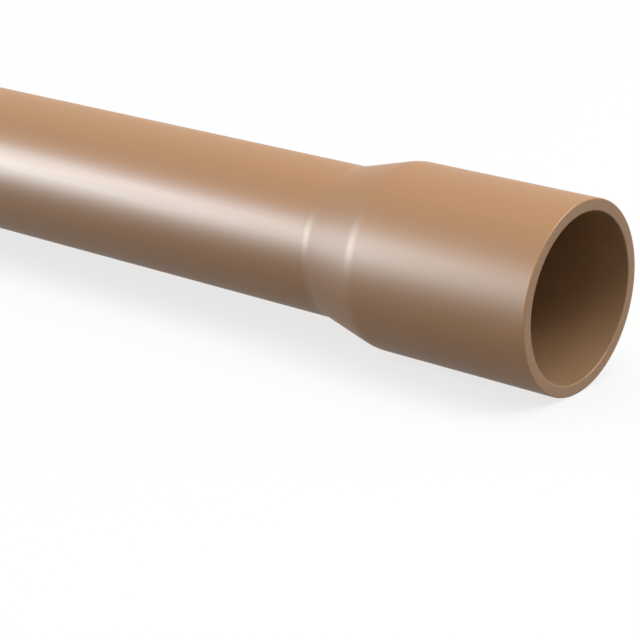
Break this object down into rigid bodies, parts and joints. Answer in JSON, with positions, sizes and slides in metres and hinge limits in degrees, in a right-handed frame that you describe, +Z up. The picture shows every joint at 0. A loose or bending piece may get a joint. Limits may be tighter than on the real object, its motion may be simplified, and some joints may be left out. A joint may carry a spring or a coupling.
{
  "type": "pvc water pipe",
  "caption": "Straight brown PVC water pipe with a plain end and a formed socket on the other end, which takes the plain end of the next pipe.",
  "frame": {"origin": "on the floor under the middle of the pipe's length, below its axis", "axes": "+X along the pipe's axis, out of the socket's mouth; +Z up; +Y across the pipe"},
  "size_m": [1, 0.0306, 0.0306],
  "materials": {
    "brown_pvc": "satin, as extruded"
  },
  "bodies": {
    "root": {"pipe": "brown_pvc"}
  },
  "joints": []
}
